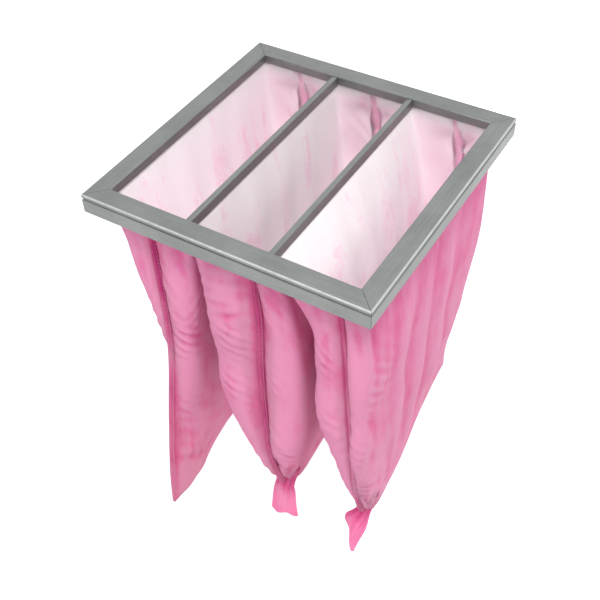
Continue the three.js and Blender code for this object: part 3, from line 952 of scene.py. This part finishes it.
# %% [markdown]
# ** Painted fold shade.** How hollow or ridged the cloth is at a vertex sets painted shade in its hollows and painted light on its ridges. It is worked out from each vertex's neighbours, smoothed a little, and stored as an attribute. A seam, where two cloths lie on each other, is given a deeper colour as well.

# %% Painted fold shade
FOLD_SHADE_MEAN, FOLD_SHADE_SWING, CREASE_SEAM = 0.4, 0.34, 0.2
FULL_HOLLOW = 0.7 * MM


def hollow_depths(rings):
    """How deep each vertex lies below its neighbours, in metres; less than 0 on a ridge."""
    panels = []
    for side, places in ((1, rings[:, :PANEL]), (-1, rings[:, PANEL:])):
        out = out_direction(places, side)
        hollow = ((blur(places, 4) - places) * out).sum(-1)
        panels.append(blur(hollow, 1))
    return np.concatenate(panels, axis=1)


def set_fold_shade(piece, fold_shade):
    """Stores a painted fold shade between 0 and 1 at every vertex."""
    attribute = piece.data.attributes.new("fold_shade", "FLOAT", "POINT")
    attribute.data.foreach_set("value", np.clip(fold_shade, 0, 1).ravel().astype(np.float32))
    print(piece.name, "crease mean", round(float(fold_shade.mean()), 2), "spread", round(float(fold_shade.std()), 2))


for name, piece in PIECES.items():
    # painted shade in the hollows and painted light on the ridges, plus a deeper seam
    fold_shade = FOLD_SHADE_MEAN + FOLD_SHADE_SWING * np.tanh(hollow_depths(RINGS[name]) / FULL_HOLLOW)
    seam_columns = np.isin(np.arange(PANEL), [0, 1, PANEL - 2, PANEL - 1])
    set_fold_shade(piece, fold_shade + np.tile(seam_columns * CREASE_SEAM, 2))

# %% [markdown]
# **Thickness and lining.** Solidify gives the cloth its thickness inwards, with the inside face in its
# own finish. Where the two panels close, and at the seams, the cloth is pressed thin, so that the pale
# inside stays inside. At the front seam and in its gathered corner the cut edges turn out, so there the
# lining is pink too.

# %% Thickness and lining
SEWN_THIN, FOLD_THIN = 0.2, 0.3
FOLD_ROWS = 8
CORNER_ROWS, CORNER_COLUMNS, SEAM_COLUMNS = 17, 18, 5


def thickness_weights(rings):
    """The share of the full thickness at each vertex, from how far its two panels are apart."""
    apart = np.linalg.norm(rings[:, :PANEL] - rings[:, PANEL:], axis=-1)
    full = np.tile(np.round(np.clip(0.25 * apart / CLOTH, SEWN_THIN, 1), 1), 2)
    full[-FOLD_ROWS:] = np.minimum(full[-FOLD_ROWS:], FOLD_THIN)
    near_seam = [0, 1, 2, PANEL - 3, PANEL - 2, PANEL - 1]
    full[:, near_seam + [PANEL + k for k in near_seam]] = SEWN_THIN
    return full


def thicken(piece, rings):
    """Cloth thickness inwards, with the inside in the finish that follows the outside's slot."""
    weight_group(piece, "full", thickness_weights(rings))
    solid = piece.modifiers.new("Cloth thickness", "SOLIDIFY")
    solid.vertex_group = "full"
    solid.thickness = CLOTH
    solid.offset = -1
    solid.material_offset = 1
    solid.material_offset_rim = 0


def line_front_seam(piece):
    """Gives the faces at the front seam and in its corner the slot with the pink lining."""
    for polygon in piece.data.polygons:
        ring, column = divmod(polygon.vertices[0], 2 * PANEL)
        column %= PANEL
        in_corner = ring > len(SHARES) - CORNER_ROWS and column < CORNER_COLUMNS
        polygon.material_index = PINK_LINED if in_corner or column < SEAM_COLUMNS else PALE_LINED


for name, piece in PIECES.items():
    line_front_seam(piece)
    thicken(piece, RINGS[name])
print("cloths thickened:", len(PIECES), "by", round(CLOTH / MM, 1), "mm at most")

# %% [markdown]
# **Gathered corners.** Two of the bags end in a pinched corner at the front: the cloth is drawn together
# into a neck and spreads out again below it, as a squarish tab on the middle bag and as a twisted point
# on the right one. Each is a tube lofted through flattened sections, with pleats that are deepest at
# the neck. A section is listed with its place from the bag's corner and its half widths in millimetres,
# and its twist in degrees. They are the sections of the solids, twisted a little on their way down.

# %% Sections of the gathered corners
TAILS = {
    "pocket_middle": [
        ((0, 10, 14), (12, 9), 0), ((0, 0, -4), (11, 5), 0), ((0, -3, -18), (13, 2.6), 6),
        ((0, -6, -56), (16, 2), 10),
    ],
    "pocket_right": [
        ((0, 12, 12), (10, 9), 0), ((0, 0, -3), (8, 5), 0), ((-4, -12, -16), (14, 3), -14),
        ((-3, -17, -36), (8, 2), -24), ((-2, -22, -58), (1.5, 1), -30),
    ],
}
TAIL_ROUND = 72
TAIL_DOWN = 40


def spline(values, steps):
    """A smooth path through rows of values."""
    values = np.array(values, float)
    padded = np.vstack([2 * values[0] - values[1], values, 2 * values[-1] - values[-2]])
    out = []
    for t in np.linspace(0, len(values) - 1, steps):
        k = min(int(t), len(values) - 2)
        u = t - k
        a, b, c, d = padded[k : k + 4]
        out.append(0.5 * (
            2 * b + (c - a) * u + (2 * a - 5 * b + 4 * c - d) * u**2 + (3 * b - a - 3 * c + d) * u**3
        ))
    return np.array(out)


print("sections:", {name: len(sections) for name, sections in TAILS.items()})

# %% [markdown]
# Each row of the tube is an ellipse with pleats pressed into it. The pleats wander a little as they run
# down, and are strongest where the neck pinches them. Their valleys, and the neck most of all, get painted
# fold shade.

# %% Build the gathered corners
def tail_rows(name):
    """The tube's rows of points below a pocket's front corner, and the painted fold shade of each point."""
    path = spline([(*at, *half, twist) for at, half, twist in TAILS[name]], TAIL_DOWN)
    corner = 0.5 * (RINGS[name][-1, 1] + RINGS[name][-1, PANEL + 1])
    turn = 2 * np.pi * np.arange(TAIL_ROUND) / TAIL_ROUND
    points, fold_shade = [], []
    for row, (x, y, z, half_x, half_y, twist) in enumerate(path):
        down = row / (TAIL_DOWN - 1)
        pinch = np.exp(-(((down - 0.3) / 0.25) ** 2))
        pleat = ripple(4.5 * turn + 2.5 * down + 0.8 * np.sin(3 * turn + 5 * down))
        size = 1 - 0.3 * (0.25 + pinch) * (1 - pleat)
        u = half_x * np.cos(turn) * size
        v = (half_y + 0.8 * np.sin(2 * turn + 6 * down)) * np.sin(turn) * size
        v = v + 1.2 * np.sin(0.35 * u + 7 * down) * down
        angle = np.radians(twist)
        turned_x = x + u * np.cos(angle) - v * np.sin(angle)
        turned_y = y + u * np.sin(angle) + v * np.cos(angle)
        points.append(corner + np.stack([turned_x, turned_y, z + 0 * u], -1) * MM)
        # painted fold shade: deeper in the pleats' valleys and at the neck
        fold_shade.append(0.5 + 0.45 * (1 - pleat) * (0.3 + pinch) + 0.25 * pinch)
    return np.concatenate(points), np.concatenate(fold_shade)


def tail_faces():
    """Quads round the tube, and quads that close its two flattened ends."""
    faces = ring_quads(range(TAIL_ROUND), TAIL_DOWN)
    for start in (0, (TAIL_DOWN - 1) * TAIL_ROUND):
        for k in range(TAIL_ROUND // 2):
            a, b = start + k, start + k + 1
            c, d = start + (TAIL_ROUND - k - 1) % TAIL_ROUND, start + (TAIL_ROUND - k) % TAIL_ROUND
            face = [v for i, v in enumerate((a, b, c, d)) if v not in (a, b, c, d)[:i]]
            if len(face) > 2:
                faces.append(face[::-1] if start else face)
    return faces


CORNERS = {}
for name in TAILS:
    points, fold_shade = tail_rows(name)
    CORNERS[name] = new_piece(f"{name}_corner", points, tail_faces(), [OUTSIDE])
    set_fold_shade(CORNERS[name], fold_shade)
print("gathered corners:", ", ".join(CORNERS))

# %% [markdown]
# **Stitches.** A line of thread runs down the middle of each seam, on both of its faces. Every stitch
# is a short spindle pressed into the cloth, thickest in its middle. A texture could draw them, but real
# spindles catch the light and cast a tiny shadow, and they cost few faces.

# %% Places of the stitches
STITCH_PITCH = 4.2 * MM
STITCH_LENGTH = 3.0 * MM
STITCH_LIFT = 0.1 * MM
THREAD_RADIUS = 0.45 * MM
AROUND_THREAD = 6
SPINDLE = [(-0.5, 0.15), (-0.32, 0.8), (0, 1), (0.32, 0.8), (0.5, 0.15)]
SEWN_ROWS = slice(HEM_ROWS + 4, -2)


def seam_lines(rings):
    """The middle line and outward direction of both faces of both seams, as rows of points."""
    for first, sign in ((0, 1), (PANEL, -1)):
        for edge, base in ((first, first + 1), (first + PANEL - 1, first + PANEL - 2)):
            yield 0.5 * (rings[SEWN_ROWS, edge] + rings[SEWN_ROWS, base]), sign


def stitch_points(line, sign):
    """Spindles spaced evenly along a line, as an array of stitch, section, point and axis."""
    run = np.concatenate([[0], np.cumsum(np.linalg.norm(np.diff(line, axis=0), axis=1))])
    middles = np.arange(STITCH_PITCH, run[-1] - STITCH_PITCH, STITCH_PITCH)
    turn = 2 * np.pi * np.arange(AROUND_THREAD) / AROUND_THREAD
    stitches = []
    for middle in middles:
        ahead, behind = ([np.interp(middle + d, run, line[:, k]) for k in range(3)] for d in (0.001, -0.001))
        along = np.array(ahead) - np.array(behind)
        along /= np.linalg.norm(along)
        out = np.array([sign, 0, 0]) - along * along[0] * sign
        out /= np.linalg.norm(out)
        third = np.cross(along, out)
        centre = 0.5 * (np.array(ahead) + np.array(behind)) + STITCH_LIFT * out
        ring = np.cos(turn)[:, None] * out + np.sin(turn)[:, None] * third
        stitches.append([centre + along * STITCH_LENGTH * s + ring * THREAD_RADIUS * r for s, r in SPINDLE])
    return np.array(stitches)


SEWN = {
    name: np.concatenate([stitch_points(line, sign) for line, sign in seam_lines(RINGS[name])])
    for name in HANGS
}
print("stitches:", {name: len(stitches) for name, stitches in SEWN.items()})

# %% [markdown]
# All the stitches of one pocket become one mesh of six-sided spindles with closed ends.

# %% Build the stitches
def stitch_faces(count):
    """Quads and end caps of a number of spindles."""
    faces = []
    backwards = range(AROUND_THREAD)[::-1]
    for stitch in range(count):
        start = stitch * len(SPINDLE) * AROUND_THREAD
        last = start + (len(SPINDLE) - 1) * AROUND_THREAD
        faces += ring_quads(backwards, len(SPINDLE), start)
        faces.append(tuple(start + k for k in backwards))
        faces.append(tuple(last + k for k in range(AROUND_THREAD)))
    return faces


STITCHES = {}
for name, stitches in SEWN.items():
    points = stitches.reshape(-1, 3)
    STITCHES[name] = new_piece(f"{name}_stitches", points, stitch_faces(len(stitches)), [THREAD])
print("meshes of stitches:", len(STITCHES))

# %% [markdown]
# ** Fixing the pockets.** The cloths and their gathered corners take the place of the three solids, which are hidden. Each cloth, its corner and its stitches are fixed to the frame's root.

for name, piece in PIECES.items():
    corners = [CORNERS[name]] if name in CORNERS else []
    for part in (piece, *corners):
        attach(part, "root")
        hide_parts(name)
    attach(STITCHES[name], "root")
print("pockets fixed to the frame")

# %% [markdown]
# ## Camera, floor and light
# The camera stands where the photograph was taken from: about 46 degrees up and 33 degrees round from
# the front, less than a metre away, and turned a little. Its angles and its distances along its own
# three directions, in header sides, were fitted to the header's corners in the photograph.

# %% Camera
AZIMUTH, ELEVATION, ROLL = 33.16, 45.89, -2.66
HEADER_SIDE = 2 * HALF_HEADER
CAMERA_OFFSET = (0.0198 * HEADER_SIDE, 0.4562 * HEADER_SIDE, 2.9143 * HEADER_SIDE)
FIELD_OF_VIEW = 2 * math.atan(97 / 299.9)
CLIP_START = 0.01


def camera_axes():
    """The camera's right, up and back directions, roll included."""
    az, el, roll = (math.radians(v) for v in (AZIMUTH, ELEVATION, ROLL))
    back = Vector((math.sin(az) * math.cos(el), -math.cos(az) * math.cos(el), math.sin(el)))
    right = Vector((math.cos(az), math.sin(az), 0))
    up = back.cross(right)
    return right * math.cos(roll) + up * math.sin(roll), up * math.cos(roll) - right * math.sin(roll), back


right, up, back = camera_axes()
eye = back * CAMERA_OFFSET[2] - right * CAMERA_OFFSET[0] - up * CAMERA_OFFSET[1]
camera = bpy.data.objects.new("camera", bpy.data.cameras.new("camera"))
camera.data.angle = FIELD_OF_VIEW
camera.data.clip_start = CLIP_START
camera.matrix_world = Matrix.Translation(eye) @ Matrix((right, up, back)).transposed().to_4x4()
bpy.context.scene.collection.objects.link(camera)
bpy.context.scene.camera = camera
print("camera at", [round(v, 3) for v in eye])

# %% [markdown]
# **Floor.** A product picture is taken on pale paper. The paper is lifted nearly to white where the
# camera sees it, and also where a ray meets it through something clear or off something shiny. For all
# other light it only gives back what falls on it, and so it keeps the object's shadow.

# %% Floor
FLOOR_Z = -0.62
FLOOR_LIFT = 0.42


def seen_directly(tree):
    """1 for rays from the camera, through something clear or off something shiny, and 0 for others."""
    path = tree.nodes.new("ShaderNodeLightPath")
    seen = math_node(tree, "MAXIMUM", path.outputs["Is Camera Ray"], path.outputs["Is Transmission Ray"])
    return math_node(tree, "MAXIMUM", seen, path.outputs["Is Glossy Ray"])


bpy.ops.mesh.primitive_plane_add(size=30, location=(0, 0, FLOOR_Z))
floor = bpy.context.object
floor.name = "floor"
paper, tree, shader = new_material("floor_paper")
shader.inputs["Base Color"].default_value = (0.86, 0.86, 0.86, 1)
shader.inputs["Roughness"].default_value = 0.95
shader.inputs["Specular IOR Level"].default_value = 0.1
shader.inputs["Emission Color"].default_value = (1, 1, 1, 1)
lift = math_node(tree, "MULTIPLY", seen_directly(tree), FLOOR_LIFT)
tree.links.new(lift, shader.inputs["Emission Strength"])
floor.data.materials.append(paper)
print("floor at", FLOOR_Z)

# %% [markdown]
# **Lamps.** A broad lamp above lights the header and the insides of the bags. A second one low behind
# shines through the cloth, and a weak one in front softens the shadows between the bags.

# %% Lamps
def add_lamp(name, place, size, watts, target=(0, 0, -0.15)):
    """A round area lamp, turned to its target and itself unseen."""
    lamp = bpy.data.objects.new(name, bpy.data.lights.new(name, "AREA"))
    lamp.data.shape = "DISK"
    lamp.data.size = size
    lamp.data.energy = watts
    lamp.visible_camera = False
    lamp.location = place
    lamp.rotation_euler = (Vector(target) - Vector(place)).to_track_quat("-Z", "Y").to_euler()
    bpy.context.scene.collection.objects.link(lamp)


add_lamp("overhead", (0.55, -0.45, 1.7), 0.8, 32, (0, 0, -0.05))
add_lamp("from_behind", (0.0, 1.3, -0.4), 0.8, 16)
add_lamp("from_the_front", (-0.2, -1.6, -0.5), 1.2, 5)
print("lamps:", len(bpy.data.lights))

# %% [markdown]
# **World.** The white room gives soft light from all sides. It is full white where it is seen and
# weaker as a light, so the background stays white and the cloth keeps its colour.

# %% World
ROOM_LIGHT = 0.68

world = bpy.data.worlds.new("studio")
bpy.context.scene.world = world
world.use_nodes = True
tree = world.node_tree
tree.nodes.clear()
seen = seen_directly(tree)
room = add(tree, "ShaderNodeBackground", None, Color=(1, 1, 1, 1), Strength=ROOM_LIGHT)
white = add(tree, "ShaderNodeBackground", None, Color=(1, 1, 1, 1), Strength=1.0)
mix_shaders(tree, seen, room, white, tree.nodes.new("ShaderNodeOutputWorld").inputs["Surface"])
bpy.context.scene.view_settings.view_transform = "Standard"
print("world and view set")
